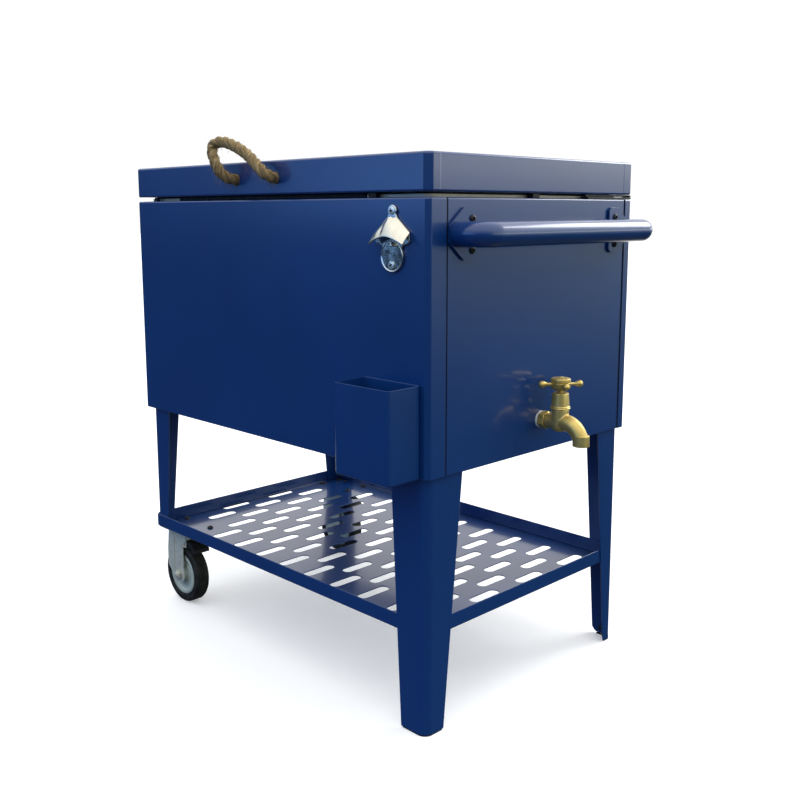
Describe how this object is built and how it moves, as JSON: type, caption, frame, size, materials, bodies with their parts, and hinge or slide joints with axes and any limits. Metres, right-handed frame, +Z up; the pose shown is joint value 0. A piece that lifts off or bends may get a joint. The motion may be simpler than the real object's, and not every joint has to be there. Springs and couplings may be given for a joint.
{
  "type": "rolling patio cooler",
  "caption": "Rolling patio cooler: an insulated steel tub with a hinged lid and rope pull, on legs and casters, with a slotted shelf, push handle, drain tap, bottle opener and cap catcher.",
  "frame": {"origin": "on the floor, under the centre of the bounding box measured without the rope pull", "axes": "+Z up; +X along the cooler towards the handle and drain tap; -Y towards the front face with the bottle opener"},
  "size_m": [0.8088, 0.5375, 0.8477],
  "materials": {
    "blue_paint": "semi-gloss powder coat, dark blue",
    "foam": "rigid polyurethane foam, hidden",
    "liner_plastic": "moulded cream plastic",
    "black_rubber": "matte black rubber",
    "tyre_rubber": "worn matte black rubber",
    "hinge_black": "satin black coated steel",
    "zinc": "zinc plated, dull grey with a warm tint",
    "hub_plastic": "moulded blue-grey plastic",
    "pedal_plastic": "black moulded plastic",
    "chrome": "polished chrome plate",
    "brass": "antique brass, satin",
    "white_rubber": "white sealing washer",
    "jute": "three-strand twisted jute rope"
  },
  "bodies": {
    "cart": {"front_shell": "blue_paint", "back_shell": "blue_paint", "right_side_panel": "blue_paint", "left_side_panel": "blue_paint", "bottom_pan": "blue_paint", "body_insulation": "foam", "inner_liner": "liner_plastic", "lid_bumper_front_left": "black_rubber", "lid_bumper_front_right": "black_rubber", "lid_bumper_left": "black_rubber", "lid_bumper_right": "black_rubber", "hinge_left_body_leaf": "hinge_black", "hinge_right_body_leaf": "hinge_black", "hinge_left_pin": "zinc", "hinge_right_pin": "zinc", "leg_front_right": "blue_paint", "leg_back_right": "blue_paint", "leg_front_left": "blue_paint", "leg_back_left": "blue_paint", "foot_pad_front": "black_rubber", "foot_pad_back": "black_rubber", "shelf_tray": "blue_paint", "caster_fork_front": "zinc", "caster_fork_back": "zinc", "caster_axle_front": "zinc", "caster_axle_back": "zinc", "handle_tube": "blue_paint", "handle_plate_front": "blue_paint", "handle_plate_back": "blue_paint", "handle_screw_1": "hinge_black", "handle_screw_2": "hinge_black", "handle_screw_3": "hinge_black", "handle_screw_4": "hinge_black", "bottle_opener": "chrome", "opener_screw_1": "zinc", "opener_screw_2": "zinc", "cap_catcher": "blue_paint", "tap_washer": "white_rubber", "tap_nut": "brass", "tap_body": "brass", "tap_bonnet": "brass", "tap_inner_washer": "white_rubber", "tap_backnut": "brass"},
    "lid": {"lid_shell": "blue_paint", "lid_insulation": "foam", "lid_liner": "liner_plastic", "lid_gasket": "black_rubber", "hinge_left_lid_leaf": "hinge_black", "hinge_right_lid_leaf": "hinge_black", "rope_handle": "jute", "rope_knot_left": "jute", "rope_knot_right": "jute"},
    "tap_handle": {"tap_handle": "brass", "tap_spindle": "brass"},
    "wheel_front": {"wheel_hub_front": "hub_plastic", "wheel_tyre_front": "tyre_rubber"},
    "wheel_back": {"wheel_hub_back": "hub_plastic", "wheel_tyre_back": "tyre_rubber"},
    "brake_front": {"brake_pedal_front": "pedal_plastic"},
    "brake_back": {"brake_pedal_back": "pedal_plastic"}
  },
  "joints": [
    {"name": "lid_hinge", "type": "hinge", "parent": "cart", "child": "lid", "pos_m": [-0.0409, 0.26555, 0.754], "axis": [-1, 0, 0], "range_deg": [0, 95]},
    {"name": "tap_turn", "type": "hinge", "parent": "cart", "child": "tap_handle", "pos_m": [0.3541, 0.03855, 0.48], "axis": [0, 0, 1], "range_deg": [0, 540]},
    {"name": "wheel_front_spin", "type": "hinge", "parent": "cart", "child": "wheel_front", "pos_m": [-0.3499, -0.16495, 0.0545], "axis": [0, 1, 0], "continuous": true},
    {"name": "wheel_back_spin", "type": "hinge", "parent": "cart", "child": "wheel_back", "pos_m": [-0.3499, 0.22405, 0.0545], "axis": [0, 1, 0], "continuous": true},
    {"name": "brake_front_press", "type": "hinge", "parent": "cart", "child": "brake_front", "pos_m": [-0.3289, -0.16495, 0.1185], "axis": [0, 1, 0], "range_deg": [0, 12]},
    {"name": "brake_back_press", "type": "hinge", "parent": "cart", "child": "brake_back", "pos_m": [-0.3289, 0.22405, 0.1185], "axis": [0, 1, 0], "range_deg": [0, 12]}
  ]
}
